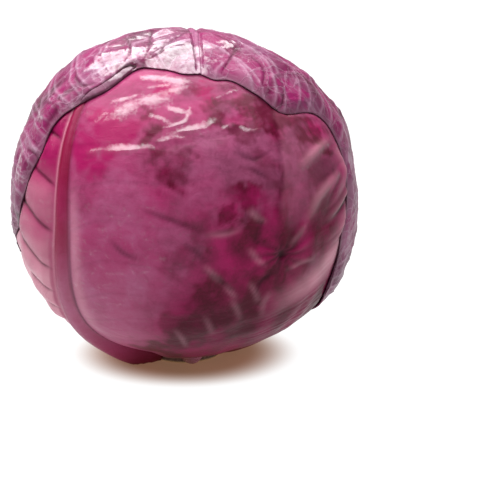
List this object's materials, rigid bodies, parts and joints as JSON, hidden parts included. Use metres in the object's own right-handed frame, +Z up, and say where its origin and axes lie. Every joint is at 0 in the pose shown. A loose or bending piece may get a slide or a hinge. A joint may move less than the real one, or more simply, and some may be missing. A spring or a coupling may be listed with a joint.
{
  "type": "red cabbage head",
  "caption": "Whole red cabbage head that stands on its cut stalk: overlapping wrapper leaves with thick midribs, folded over a dense inner head.",
  "frame": {"origin": "centre of the head's outline, on the surface that its cut stalk stands on", "axes": "+Z up out of the stalk towards the top of the head, -Y the side seen in the picture, +X to its right"},
  "size_m": [0.1656, 0.166, 0.1638],
  "materials": {
    "wrapper_leaf": "waxy satin, deep magenta purple with paler veins",
    "cap_leaf": "waxy satin, crumpled, dusty purple with dark margins",
    "inner_leaf": "waxy satin, pinkish purple",
    "stalk": "fresh cut, fibrous cream"
  },
  "bodies": {
    "root": {"stalk": "stalk", "inner_head": "inner_leaf", "hidden_front_leaf": "inner_leaf", "left_leaf": "wrapper_leaf", "right_leaf": "wrapper_leaf", "front_leaf": "wrapper_leaf", "cap_leaf": "cap_leaf"}
  },
  "joints": []
}
